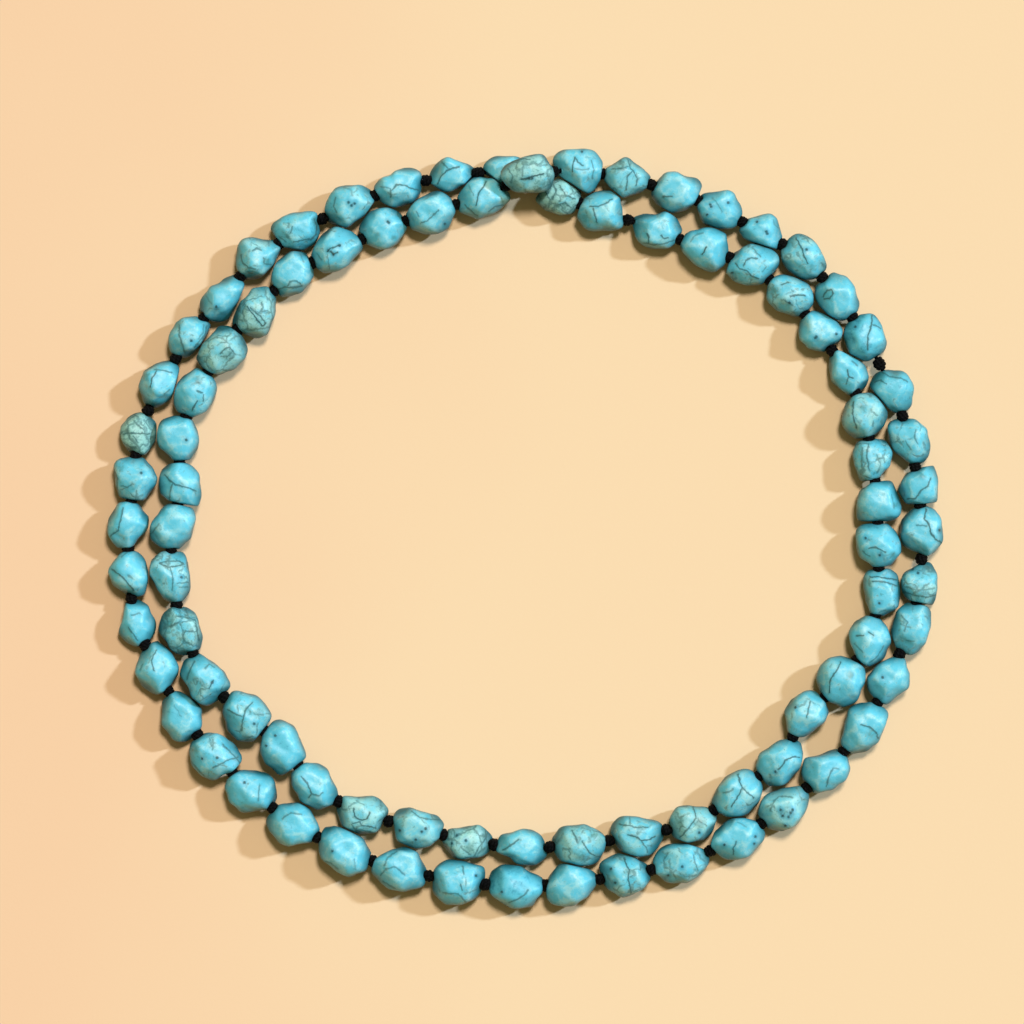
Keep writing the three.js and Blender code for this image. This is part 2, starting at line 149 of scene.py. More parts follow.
     [], [(146, 376, 5)]),
    ((170, 343, 171, 333, 176, 324, 184, 318, 195, 316, 204, 319, 209, 325, 206, 335, 202, 343, 194, 351,
     187, 356, 177, 355), 0.15, 0.25, 0.2, [(0.7, 180, 325, 180, 335, 183, 344, 185, 353), (0.7, 207, 326,
     205, 334, 200, 341, 195, 347), (0.5, 204, 325, 203, 333, 199, 339)], [(192, 341)], [(178, 324, 6)]),
    ((199, 306, 203, 298, 211, 287, 219, 284, 226, 277, 233, 276, 240, 284, 242, 293, 236, 300, 231, 309,
     227, 315, 214, 316, 203, 312), 0, 0.05, 0, [(0.3, 206, 296, 212, 304)], [(217, 307)], []),
    ((237, 255, 238, 247, 243, 240, 252, 238, 265, 240, 275, 241, 281, 248, 280, 256, 272, 263, 264, 271,
     256, 277, 246, 276, 240, 268), 0.2, 0.3, 0.3, [(0.7, 241, 255, 243, 263, 249, 268, 256, 269),
     (0.7, 253, 251, 257, 249, 262, 250), (0.6, 264, 258, 265, 264, 271, 265)], [], [(267, 262, 5),
     (250, 273, 6)]),
    ((270, 231, 273, 224, 282, 218, 293, 213, 305, 213, 315, 217, 322, 227, 320, 234, 311, 243, 303, 249,
     294, 247, 282, 245, 274, 237), 0.15, 0.3, -0.2, [(0.8, 293, 227, 291, 233), (0.8, 314, 219, 317, 226,
     316, 234, 311, 240), (0.7, 294, 242, 303, 240, 311, 239), (0.6, 280, 237, 286, 242)], [],
     [(317, 222, 6)]),
    ((327, 206, 329, 196, 336, 188, 346, 185, 362, 185, 370, 191, 373, 203, 370, 210, 360, 216, 350, 224,
     340, 226, 332, 221, 328, 213), 0.15, 0.2, 0, [(0.6, 336, 198, 334, 206, 337, 213), (0.4, 344, 188,
     351, 190, 353, 196)], [(349, 203), (352, 206), (355, 204)], []),
    ((376, 186, 380, 179, 390, 177, 396, 171, 404, 168, 413, 169, 417, 177, 418, 195, 413, 202, 395, 205,
     383, 201, 377, 193), 0, 0.1, 0.1, [(0.8, 392, 191, 397, 185, 406, 186, 412, 189, 418, 190),
     (0.7, 391, 190, 391, 197), (0.5, 381, 187, 391, 189)], [], []),
    ((431, 184, 432, 174, 436, 164, 441, 159, 448, 158, 460, 162, 470, 168, 475, 175, 470, 181, 458, 187,
     450, 190, 434, 189), 0.05, 0.1, 0, [(0.9, 438, 184, 441, 177, 447, 171, 453, 168, 459, 167),
     (0.6, 442, 162, 448, 169)], [], []),
    ((480, 174, 483, 166, 489, 158, 497, 156, 515, 157, 527, 159, 530, 170, 528, 180, 515, 187, 500, 184,
     487, 179), 0, 0, 0, [], [], []),
]
INNER_NUGGETS = [
    ((536, 199, 543, 190, 553, 181, 558, 179, 566, 182, 573, 188, 582, 192, 583, 199, 575, 203, 572, 212,
     560, 214, 545, 209), 0.5, 0.6, 0.9, [(0.8, 552, 182, 556, 190, 553, 200), (0.7, 560, 186, 566, 196,
     575, 199), (0.7, 555, 206, 565, 203, 571, 208), (0.6, 546, 192, 550, 200, 548, 208)], [],
     [(562, 207, 6)]),
    ((577, 214, 584, 206, 593, 199, 602, 192, 611, 191, 618, 197, 620, 207, 624, 215, 621, 223, 612, 229,
     592, 230, 584, 226), 0.2, 0.2, 0.1, [(0.8, 590, 207, 598, 207, 606, 204, 612, 199), (0.8, 593, 209,
     595, 215, 597, 223)], [], [(586, 219, 7)]),
    ((634, 226, 637, 218, 645, 215, 657, 215, 664, 212, 671, 213, 678, 221, 681, 230, 677, 241, 668, 247,
     655, 248, 643, 245, 636, 236), 0.1, 0.15, 0.2, [(0.9, 647, 234, 649, 238, 648, 244), (0.8, 661, 236,
     664, 239, 668, 238), (0.7, 644, 243, 654, 245, 664, 244, 674, 240)], [], []),
    ((682, 242, 688, 234, 698, 232, 706, 228, 717, 228, 725, 235, 727, 246, 727, 254, 721, 265, 714, 271,
     704, 269, 692, 260, 684, 252), 0, 0.05, 0, [(1, 706, 248, 702, 255), (0.5, 690, 242, 695, 236,
     703, 233)], [], []),
    ((725, 267, 731, 257, 742, 250, 751, 244, 760, 245, 770, 250, 775, 258, 774, 267, 769, 277, 760, 283,
     748, 284, 735, 280, 727, 273), 0.15, 0.35, 0.1, [(0.8, 743, 266, 746, 261, 751, 258, 757, 259),
     (0.8, 735, 264, 740, 269, 747, 271, 751, 276, 758, 279), (0.6, 752, 248, 756, 253, 760, 257),
     (0.5, 762, 272, 766, 267)], [(732, 273)], []),
    ((769, 295, 771, 283, 783, 276, 796, 277, 806, 286, 809, 300, 802, 312, 795, 315, 777, 309, 770, 303),
     0.15, 0.35, 0.3, [(0.9, 790, 297, 798, 295, 805, 296), (0.8, 781, 285, 788, 283), (0.5, 783, 300,
     787, 303, 792, 306)], [(789, 303)], [(775, 290, 5)]),
    ((800, 333, 803, 321, 813, 313, 824, 313, 834, 319, 840, 331, 836, 342, 826, 350, 809, 347, 801, 340),
     0.1, 0.05, 0.1, [], [(816, 337), (815, 338), (836, 334)], []),
    ((830, 366, 833, 355, 841, 352, 857, 359, 865, 367, 865, 378, 859, 391, 851, 395, 841, 388, 832, 381),
     0.1, 0.15, 0.1, [(0.9, 847, 370, 848, 377, 853, 378), (0.7, 848, 377, 846, 384),
     (0.6, 852, 361, 857, 366)], [], []),
    ((843, 418, 846, 405, 855, 396, 868, 393, 875, 396, 887, 412, 884, 422, 870, 432, 855, 438, 846, 430),
     0.3, 0.3, 0.2, [(0.8, 853, 402, 852, 410, 853, 418, 856, 428), (0.6, 873, 421, 872, 426)], [],
     [(862, 405, 6)]),
    ((854, 455, 858, 444, 870, 440, 882, 439, 890, 442, 892, 454, 888, 468, 880, 475, 869, 485, 860, 479,
     856, 467), 0.2, 0.45, 0.1, [(0.7, 868, 444, 866, 456, 869, 470), (0.6, 862, 448, 861, 459, 862, 470),
     (0.5, 876, 455, 880, 464, 877, 473)], [], []),
    ((857, 508, 860, 491, 871, 485, 881, 479, 891, 481, 896, 491, 899, 506, 893, 515, 882, 522, 858, 523), 0,
     0.1, 0, [(0.4, 891, 495, 893, 508)], [], [(895, 505, 4)]),
    ((857, 525, 871, 523, 885, 524, 893, 532, 898, 545, 899, 553, 890, 566, 875, 567, 862, 559, 857, 548),
     0.05, 0.2, -0.1, [(0.8, 868, 548, 875, 547, 885, 552), (0.6, 862, 551, 869, 556)], [(865, 538),
     (879, 555)], [(893, 555, 4)]),
    ((863, 580, 869, 571, 879, 568, 890, 569, 898, 577, 898, 595, 896, 607, 886, 617, 873, 613, 867, 601),
     0.1, 0.25, 0.1, [(0.9, 870, 577, 880, 577, 890, 579, 897, 580), (0.8, 872, 581, 885, 582, 897, 586)],
     [(879, 603)], []),
    ((850, 634, 856, 621, 867, 616, 877, 618, 885, 628, 889, 642, 884, 657, 876, 666, 867, 668, 859, 659,
     852, 646), 0.05, 0.1, 0.1, [(0.8, 856, 636, 863, 635), (0.8, 868, 632, 873, 635), (0.6, 870, 662,
     878, 655, 883, 646), (0.5, 854, 643, 862, 652)], [], []),
    ((817, 681, 821, 667, 829, 659, 842, 658, 853, 662, 868, 671, 861, 685, 854, 697, 842, 703, 831, 701,
     823, 693), 0.05, 0.1, 0, [(0.9, 840, 662, 836, 670, 832, 675, 829, 682, 829, 692)], [],
     [(850, 675, 5)]),
    ((785, 711, 792, 700, 803, 694, 813, 691, 821, 698, 828, 711, 824, 723, 812, 731, 801, 737, 790, 732),
     0.1, 0.2, 0.2, [(0.8, 810, 701, 808, 709, 806, 717)], [(795, 707)], []),
    ((758, 766, 760, 755, 770, 748, 783, 740, 791, 738, 799, 744, 800, 755, 797, 769, 789, 778, 775, 782,
     766, 782), 0.1, 0.2, 0.1, [(0.9, 799, 757, 792, 756, 785, 760, 781, 766, 778, 769)], [(775, 771)], []),
    ((715, 802, 718, 789, 727, 776, 740, 771, 751, 773, 758, 784, 756, 797, 749, 811, 739, 817, 728, 815),
     0.15, 0.2, 0.1, [(0.9, 738, 774, 740, 784, 742, 787, 738, 794, 731, 806), (0.8, 742, 787, 748, 793,
     753, 797), (0.6, 723, 792, 729, 791, 733, 788)], [], []),
    ((670, 834, 673, 820, 678, 808, 690, 806, 705, 811, 718, 822, 714, 831, 703, 839, 685, 843), 0.4, 0.35,
     0.1, [(0.8, 693, 807, 695, 814, 696, 818), (0.8, 695, 818, 688, 828, 680, 837)], [(699, 832)],
     [(700, 822, 6), (681, 821, 6)]),
    ((612, 833, 615, 823, 622, 817, 638, 818, 653, 823, 660, 831, 657, 843, 651, 852, 638, 855, 622, 849),
     0.2, 0.3, 0.1, [(0.8, 619, 824, 628, 825, 636, 827, 648, 827), (0.9, 628, 834, 637, 837, 641, 840,
     650, 839, 655, 836), (0.7, 641, 840, 647, 848, 648, 852), (0.6, 630, 818, 630, 824)], [], []),
    ((555, 839, 560, 828, 570, 826, 584, 826, 596, 833, 604, 842, 603, 852, 590, 861, 579, 866, 562, 860),
     0.3, 0.4, 0.1, [(0.8, 572, 831, 576, 836, 577, 841), (0.8, 582, 841, 586, 847, 589, 852, 595, 855)], [],
     [(595, 836, 6), (581, 857, 7)]),
    ((499, 837, 510, 835, 524, 830, 533, 831, 542, 837, 545, 845, 542, 857, 535, 867, 524, 865, 513, 857,
     500, 851), 0.05, 0.1, 0, [(0.8, 503, 850, 512, 844, 519, 839)], [], []),
    ((440, 835, 450, 831, 480, 825, 486, 829, 492, 850, 478, 856, 455, 858, 446, 850), 0.5, 0.6, 0.4,
     [(0.7, 485, 828, 486, 838, 480, 846, 475, 855), (0.6, 486, 838, 488, 846)], [(446, 838), (457, 835),
     (452, 843), (466, 840)], [(470, 848, 7)]),
    ((392, 820, 400, 810, 410, 808, 420, 813, 436, 816, 443, 826, 439, 835, 430, 845, 415, 847, 398, 841),
     0.3, 0.3, 0.3, [(0.7, 412, 811, 420, 817, 428, 819, 440, 820)], [(400, 830), (426, 828), (422, 831),
     (416, 839)], []),
    ((336, 805, 343, 799, 372, 797, 380, 801, 385, 815, 379, 828, 370, 832, 358, 834, 345, 828, 337, 815),
     0.4, 0.45, 0.3, [(0.9, 354, 808, 355, 816, 362, 820, 368, 818, 370, 812), (0.8, 353, 823, 360, 821,
     362, 825, 372, 826, 376, 828), (0.6, 352, 824, 355, 829, 360, 831)], [], []),
    ((291, 772, 302, 765, 318, 764, 328, 771, 333, 785, 336, 797, 328, 804, 318, 808, 303, 803, 293, 787),
     0.05, 0.1, 0, [(0.8, 302, 776, 308, 783, 312, 793, 309, 797), (0.7, 312, 793, 320, 795, 323, 792)], [],
     []),
    ((268, 725, 280, 720, 293, 726, 300, 740, 305, 755, 302, 761, 290, 770, 280, 772, 268, 762, 261, 748,
     262, 742), 0, 0.05, -0.1, [], [(276, 735), (267, 745)], []),
    ((227, 697, 240, 694, 255, 696, 264, 703, 271, 716, 266, 724, 259, 733, 256, 742, 240, 736, 229, 727,
     225, 712), 0.15, 0.35, 0.1, [(0.7, 228, 709, 236, 713, 243, 716), (0.8, 253, 702, 246, 710, 243, 722,
     242, 730)], [(255, 723)], [(260, 712, 5)]),
    ((184, 663, 197, 655, 210, 662, 224, 672, 228, 686, 215, 698, 203, 706, 193, 697, 188, 682, 182, 672),
     0.1, 0.3, 0, [(0.7, 195, 661, 191, 670, 187, 679), (0.6, 206, 668, 210, 664, 215, 667), (0.9, 214, 680,
     212, 684, 210, 688)], [(213, 682)], []),
    ((170, 608, 181, 606, 194, 614, 198, 625, 203, 641, 197, 650, 181, 656, 174, 650, 170, 640, 163, 632,
     165, 618), 0.3, 0.75, 0.2, [(0.8, 178, 616, 190, 618, 196, 620, 199, 640), (0.7, 172, 625, 180, 622),
     (0.7, 185, 632, 184, 640), (0.7, 186, 631, 197, 631)], [], []),
    ((150, 561, 160, 552, 180, 551, 186, 560, 189, 580, 189, 600, 166, 602, 158, 588, 152, 576, 149, 570),
     0.15, 0.35, 0.2, [(0.8, 160, 563, 168, 561, 180, 561, 184, 564, 178, 566, 168, 567, 160, 563),
     (0.7, 171, 568, 174, 578, 173, 590), (0.6, 178, 583, 188, 582), (0.5, 180, 587, 188, 587)],
     [(182, 577)], []),
    ((168, 504, 180, 503, 191, 508, 195, 520, 190, 537, 180, 549, 165, 546, 151, 540, 152, 530, 162, 512), 0,
     0.1, 0.1, [(0.6, 151, 534, 160, 524)], [], []),
    ((162, 472, 168, 465, 178, 461, 190, 465, 197, 474, 200, 490, 201, 502, 194, 511, 170, 501, 161, 492),
     0.05, 0.15, 0, [(0.8, 165, 475, 170, 480, 177, 485, 190, 488, 196, 491), (0.7, 174, 483, 171, 492,
     170, 500)], [], []),
    ((162, 419, 176, 414, 190, 417, 196, 430, 198, 452, 190, 464, 175, 459, 161, 448, 158, 432), 0, 0.05, 0,
     [], [(187, 440)], []),
    ((199, 368, 211, 377, 216, 388, 213, 401, 204, 412, 190, 418, 177, 411, 174, 400, 176, 388, 184, 376),
     0.05, 0.2, 0.1, [(0.8, 198, 391, 203, 393), (0.8, 204, 395, 204, 401), (0.9, 198, 401, 195, 406,
     193, 410)], [], [(198, 380, 5)]),
    ((194, 355, 200, 346, 209, 340, 216, 335, 219, 329, 228, 328, 236, 331, 243, 339, 246, 349, 243, 359,
     234, 367, 219, 374, 208, 371, 201, 363), 0.4, 0.5, 0.4, [(0.8, 221, 354, 226, 349, 231, 348, 236, 355),
     (0.6, 214, 339, 219, 336, 227, 337), (0.6, 222, 357, 228, 357, 233, 353), (0.4, 197, 357, 206, 357,
     212, 360)], [], [(229, 355, 6)]),
    ((231, 320, 236, 311, 245, 302, 251, 297, 254, 288, 262, 284, 270, 289, 274, 299, 274, 313, 270, 324,
     265, 334, 256, 338, 245, 333, 234, 327), 0.4, 0.6, 0.5, [(1, 248, 307, 253, 314, 258, 320, 263, 326,
     266, 324), (0.8, 251, 308, 257, 313, 262, 318, 266, 323), (0.6, 262, 303, 264, 308, 260, 313, 268, 311),
     (0.5, 236, 313, 238, 319, 243, 321)], [], [(236, 318, 5)]),
    ((273, 277, 276, 268, 282, 259, 289, 251, 298, 250, 306, 255, 311, 265, 312, 275, 307, 285, 300, 292,
     288, 295, 279, 295, 275, 287), 0, 0.05, 0.2, [(0.7, 278, 289, 286, 287, 294, 288, 302, 286),
     (0.7, 288, 286, 291, 282, 297, 281, 301, 284), (0.4, 300, 254, 304, 262)], [], []),
    ((312, 256, 317, 246, 322, 236, 330, 229, 340, 229, 350, 234, 357, 243, 360, 248, 355, 256, 348, 264,
     337, 271, 325, 272, 317, 266), 0.1, 0.2, 0, [(0.9, 328, 252, 331, 249, 335, 248, 340, 246),
     (0.9, 331, 252, 334, 255, 338, 253), (0.5, 328, 255, 329, 262, 330, 269), (0.5, 317, 254, 322, 260)],
     [(340, 246), (329, 251), (334, 255)], []),
    ((361, 228, 364, 219, 370, 212, 378, 211, 393, 213, 403, 217, 407, 224, 402, 234, 397, 243, 388, 248,
     379, 248, 368, 242), 0, 0.1, 0.1, [], [(388, 222), (389, 223)], [(378, 235, 3), (394, 238, 3)]),
    ((407, 215, 411, 205, 420, 199, 431, 192, 440, 190, 448, 195, 450, 207, 452, 219, 447, 228, 436, 233,
     423, 233, 412, 227), 0, 0.1, 0.2, [(0.7, 422, 223, 427, 222, 432, 217, 439, 211),
     (0.5, 417, 212, 419, 217)], [(445, 224)], []),
    ((457, 205, 460, 194, 468, 183, 474, 177, 480, 177, 487, 180, 498, 183, 503, 190, 508, 201, 505, 208,
     490, 214, 478, 218, 468, 213), 0.1, 0.15, 0.1, [(0.9, 486, 182, 483, 188, 479, 194, 476, 206),
     (0.7, 465, 205, 469, 209, 473, 213, 477, 216), (0.7, 489, 212, 495, 207, 503, 205),
     (0.4, 469, 186, 474, 196)], [], []),
]

STRING_LENGTH = 1.2  # centre to centre through all the nuggets
LOOP_MIDDLE = (525.36, 528.4)  # grid place above the origin, x to the right and y towards the near side
TALL_SHARE = 0.88  # height of a nugget over the smaller of its two plan sizes
FLAT_SHARE = 0.88  # part of the lower half above the worn flat it lies on
CROSS_LIFT = 0.0062  # rise of the first nugget, which rides over the crossing
NUGGET_GAP = 0.0005  # between a nugget and the next one on the string, at the least
LAY_GAP = 0.0003  # between two nuggets that are worn back where they lie against each other
KNOT_ROOM = 0.0016  # round the centre of a knot, where a nugget is countersunk
OUTLINE_SWELL = 1.06  # the sides bulge a little between the corners
CLOSING_IN = 0.0013  # most that a nugget is wider towards a neighbour that it almost touches
CLOSING_FROM = 0.0038  # gap under which it is
CLOSING_SPREAD = 24  # degrees over which it is wider
CORNER_SPREAD = 5.5  # degrees over which the tumbling has rounded a corner
WAIST_POWER = 2.3  # how square a nugget is from the side: 2 is an ellipse
FACET_SHARPNESS = 15  # how abruptly a facet meets the rest
# Facets ground into the crown and foot: bearing, rise and depth as a share, each with its own spread
FACETS = [(20, 44, 0.08), (88, 30, 0.05), (160, 48, 0.08), (232, 34, 0.06), (305, 40, 0.07), (60, 82, 0.08),
    (50, -40, 0.08), (170, -40, 0.08), (290, -40, 0.08)]
FACET_SPREAD = (30, 13, 0.055)
FACET_TURN = 72  # degrees by which all facets of a nugget are turned, at most
WORN_SHARPNESS = 40  # how abruptly a nugget is worn back where it lies against another
WORN_CALM = 3  # how soon the swells die away on a worn face
NEAR_ENOUGH = 0.0273  # nuggets further apart can't touch
BORE_RIM = 0.00072
BORE_STEPS = [(0.00066, 0.00012), (0.0006, 0.0005)]  # radius and depth of the rings inside the rim
SPOKES, RINGS = 92, 46
RIPPLES = [(0.0093, 0.0003), (0.0047, 0.00008), (0.0019, 0.000018)]  # length and height of the swells
RIPPLE_PHASES = (0.3, 1.7, 2.9)
RIPPLE_BENDS = (0.8, 0.7)  # how far one sine pushes the next aside

row_table = OUTER_NUGGETS + INNER_NUGGETS
count = len(row_table)
corner_table = [np.array(row[0], float).reshape(-1, 2) for row in row_table]
middles = np.array([(corners.min(0) + corners.max(0)) / 2 for corners in corner_table])
STEP = STRING_LENGTH / np.linalg.norm(np.roll(middles, -1, axis=0) - middles, axis=1).sum()
BEARINGS = np.radians(np.arange(-180, 180))


def on_loop(x, y):
    """Grid place to metres: each coordinate's distance from the middle of the loop, with y turned over."""
    return (np.asarray(x) - LOOP_MIDDLE[0]) * STEP, (LOOP_MIDDLE[1] - np.asarray(y)) * STEP


def bearing(around, up):
    """Unit vectors that point to a bearing from +X and a rise above the floor, both in degrees."""
    a, e = np.radians(around), np.radians(up)
    return np.stack([np.cos(e) * np.cos(a), np.cos(e) * np.sin(a), np.sin(e) + 0 * a], -1)


def outline_reach(corners, middle):
    """Middle to outline for each whole bearing: where a ray meets the sides between the corners, then a
    running mean with a bell-shaped weight, which rounds the corners."""
    start = np.stack(on_loop(corners[:, 0], corners[:, 1]), -1) - middle
    side = np.roll(start, -1, axis=0) - start
    ray = np.stack([np.cos(BEARINGS), np.sin(BEARINGS)], -1)[:, None]
    turned = ray[..., 0] * side[:, 1] - ray[..., 1] * side[:, 0]
    far = (start[:, 0] * side[:, 1] - start[:, 1] * side[:, 0]) / turned
    share = (start[:, 0] * ray[..., 1] - start[:, 1] * ray[..., 0]) / turned
    reach = np.where((share >= 0) & (share <= 1) & (far > 0), far, 0).max(1)
    step = (np.arange(360) + 180) % 360 - 180
    weight = np.exp(-0.5 * (step / CORNER_SPREAD) ** 2)
    return OUTLINE_SWELL * np.fft.ifft(np.fft.fft(reach) * np.fft.fft(weight / weight.sum())).real


def body_reach(nugget, dirs):
    """Middle to surface without facets, 1 / (|flat / outline|^p + |rise / half height|^p)^(1/p), and how far
    this is past each facet, as a power of the share."""
    around = np.arctan2(dirs[..., 1], dirs[..., 0])
    outline = np.interp(around, BEARINGS, nugget["outline"], period=2 * np.pi)
    flat = np.hypot(dirs[..., 0], dirs[..., 1]) / outline
    body = (flat ** WAIST_POWER + np.abs(dirs[..., 2] / nugget["half"]) ** WAIST_POWER) ** (-1 / WAIST_POWER)
    if "facets" not in nugget:
        return body, np.zeros((*body.shape, 1))
    lean = np.maximum(dirs @ nugget["facets"].T, 0) / nugget["facet_reach"] * body[..., None]
    return body, lean ** FACET_SHARPNESS


def raw_reach(nugget, dirs):
    """Middle to surface, cut back by the facets, each joined to the rest by a power mean."""
    body, past = body_reach(nugget, dirs)
    return body * (1 + past.sum(-1)) ** (-1 / FACET_SHARPNESS)


def laid_nugget(number, corners):
    """One nugget in its place, its facets a little its own, its worn flat on the floor."""
    size = TALL_SHARE * min(corners.max(0) - corners.min(0)) * STEP
    x, y = on_loop(*middles[number])
    nugget = {"half": size / 2, "outline": outline_reach(corners, np.array([x, y]))}
    chance = np.random.default_rng(number)
    facets = np.array(FACETS) + chance.uniform(-1, 1, (len(FACETS), 3)) * FACET_SPREAD
    dirs = bearing(facets[:, 0] + chance.uniform(0, FACET_TURN), facets[:, 1])
    reach = raw_reach(nugget, dirs) * (1 - facets[:, 2])
    nugget |= {"facets": dirs, "facet_reach": reach}
    nugget["half"] *= size / raw_reach(nugget, bearing(np.zeros(2), np.array([90.0, -90.0]))).sum()
    lift = CROSS_LIFT if number == 0 else 0
    nugget |= {"centre": np.array([x, y, size / 2 * FLAT_SHARE + lift]), "normals": [], "limits": []}
    return nugget


def unit(vector):
    return vector / np.linalg.norm(vector)


def stay_behind(nugget, normal, limit):
    """Adds a plane at this distance from the middle that the nugget keeps behind."""
    nugget["normals"].append(normal)
    nugget["limits"].append(limit)


nuggets = [laid_nugget(number, corners) for number, corners in enumerate(corner_table)]
centres = np.array([nugget["centre"] for nugget in nuggets])

# Low down, where it is in shade, a nugget comes closer to its neighbours than the corners read from above
closed_in = []
for one in nuggets:
    outline = one["outline"].copy()
    apart = np.linalg.norm(centres - one["centre"], axis=1)
    for k in np.flatnonzero((apart > 0) & (apart < NEAR_ENOUGH)):
        way = unit((centres[k] - one["centre"]) * (1, 1, 0))
        gap = apart[k] - raw_reach(one, way) - raw_reach(nuggets[k], -way)
        turned = np.angle(np.exp(1j * (BEARINGS - np.arctan2(way[1], way[0]))))
        share = np.exp(-0.5 * (turned / np.radians(CLOSING_SPREAD)) ** 2)
        outline += share * np.clip(gap / 2, 0, CLOSING_IN) * (gap < CLOSING_FROM)
    closed_in.append(outline)
for one, outline in zip(nuggets, closed_in):
    one["outline"] = outline

# A knot sits midway in the space between two nuggets, and each nugget stays on its own side of it
knots = []
for number, one in enumerate(nuggets):
    other = nuggets[(number + 1) % count]
    span = np.linalg.norm(other["centre"] - one["centre"])
    way = unit(other["centre"] - one["centre"])
    before = (raw_reach(one, way) + span - raw_reach(other, -way)) / 2
    stay_behind(one, way, before - NUGGET_GAP / 2)
    stay_behind(other, -way, span - before - NUGGET_GAP / 2)
    knots.append(one["centre"] + way * before)
knots = np.array(knots)

# Where the two turns lie against each other a nugget is worn back, and it never reaches below the floor
for number, one in enumerate(nuggets):
    span = np.linalg.norm(centres - one["centre"], axis=1)
    for k in np.flatnonzero(span < NEAR_ENOUGH):
        if (k - number) % count in (0, 1, count - 1):
            continue
        way = unit(centres[k] - one["centre"])
        overlap = raw_reach(one, way) + raw_reach(nuggets[k], -way) - span[k]
        stay_behind(one, way, raw_reach(one, way) - (overlap + LAY_GAP) / 2)
    stay_behind(one, np.array([0, 0, -1.0]), one["centre"][2])
    one["normals"], one["limits"] = np.array(one["normals"]), np.array(one["limits"])


def swells(points):
    """Low swells left by the tumbling: for each length a product of bent sines along the three axes."""
    total = 0
    for length, height in RIPPLES:
        x, y, z = (2 * np.pi / length * points + RIPPLE_PHASES).T
        total = total + (height * np.sin(x + RIPPLE_BENDS[0] * np.sin(y))
            * np.sin(y + RIPPLE_BENDS[1] * np.sin(z)) * np.cos(z))
    return total


def nugget_surface(number):
    """Rings of a nugget from its first hole to its last, then back through the bore, so that the grid closes
    in both directions. A point lies where its ray meets the form, the wear planes or the room of a knot."""
    nugget = nuggets[number]
    back, ahead = knots[number - 1] - nugget["centre"], knots[number] - nugget["centre"]
    axis = unit(knots[number] - knots[number - 1])
    side = unit(np.cross(axis, [0, 0, 1]))
    above = np.cross(side, axis)
    offset = back - axis * (back @ axis)
    turn = 2 * np.pi * np.arange(SPOKES) / SPOKES
    spokes = np.cos(turn)[:, None] * side + np.sin(turn)[:, None] * above
    ends = [np.linalg.norm(back) - KNOT_ROOM, np.linalg.norm(ahead) - KNOT_ROOM]
    start, stop = (np.arctan(BORE_RIM / reach) for reach in ends)
    angle = np.linspace(start, np.pi - stop, RINGS)
    near = np.where(angle < np.pi / 2, abs(back @ axis), abs(ahead @ axis))
    aim = -np.cos(angle)[:, None] * axis + (np.cos(angle) ** 2 / near)[:, None] * offset
    dirs = aim[:, None] + np.sin(angle)[:, None, None] * spokes
    dirs = (dirs / np.linalg.norm(dirs, axis=-1, keepdims=True)).reshape(-1, 3)
    reach = raw_reach(nugget, dirs)
    past = np.maximum(dirs @ nugget["normals"].T, 0) / nugget["limits"] * reach[:, None]
    worn = (past ** WORN_SHARPNESS).sum(1)
    reach = reach * (1 + worn) ** (-1 / WORN_SHARPNESS)
    near_knots = np.flatnonzero(np.linalg.norm(knots - nugget["centre"], axis=1) < NEAR_ENOUGH)
    for knot in knots[near_knots] - nugget["centre"]:
        along = dirs @ knot
        inside = along ** 2 - knot @ knot + KNOT_ROOM ** 2
        entry = along - np.sqrt(np.maximum(inside, 0))
        reach = np.where((inside > 0) & (along > 0), np.minimum(reach, entry), reach)
    reach = reach + 1 / (1 + WORN_CALM * worn) * swells(nugget["centre"] + dirs * reach[:, None])
    points = (nugget["centre"] + dirs * reach[:, None]).reshape(RINGS, SPOKES, 3)
    points[..., 2] = np.maximum(points[..., 2], 0)
    first, last = points[0].mean(0), points[-1].mean(0)
    way = unit(last - first)
    bore = [last - way * depth + spokes * radius for radius, depth in BORE_STEPS]
    bore += [first + way * depth + spokes * radius for radius, depth in reversed(BORE_STEPS)]
    nugget["holes"] = first, last
    return np.concatenate([points, bore])


def ring_faces(rings, spokes, closed_along):
    """Faces that join rings of equal length side to side, and the last ring to the first if closed along."""
    r, s = np.meshgrid(np.arange(rings if closed_along else rings - 1), np.arange(spokes), indexing="ij")
    here, below, beside = r * spokes, (r + 1) % rings * spokes, (s + 1) % spokes
    return np.stack([here + s, here + beside, below + beside, below + s], -1).reshape(-1, 4)


def make_piece(name, points, faces, finish):
    """A smooth mesh piece at the origin, its place in its points."""
    mesh = bpy.data.meshes.new(name)
    mesh.from_pydata(np.asarray(points).reshape(-1, 3).tolist(), [], [list(f) for f in faces])
    mesh.shade_smooth()
    mesh.materials.append(finish)
    piece = bpy.data.objects.new(name, mesh)
    bpy.context.scene.collection.objects.link(piece)
    return piece


def mark(piece, name, values):
    """Writes a number, or a vector of three, for each point of a piece."""
    kind, field = ("FLOAT_VECTOR", "vector") if values.ndim == 2 else ("FLOAT", "value")
    written = piece.data.attributes.new(name, kind, "POINT").data
    written.foreach_set(field, values.astype(np.float32).ravel())


VEINS_EACH = 4  # most veins that one nugget shows from above
VEIN_FADE = 0.25  # share of a nugget's half height below its middle over which they fade
PATCH_REACH = 1.4  # how far a patch fades out, over its radius
PIT_RADIUS = 2.0  # in steps
PIT_FADE = 4  # how soon pits are lost below the middle
UNDER_MOTTLE = 0.2  # how much more mottled the underside is
PAINTED_SHADE_BELOW = 0.85  # share of a nugget's half height above its middle, under which painted shade darkens its stone
RIDGE_FROM = 0.4  # how near a facet's edge its worn ridge begins: 0 is anywhere, 1 the edge itself
FAR_OFF = 50.0  # distance that stands for no vein or pit at all
ROUNDING = 1e-9


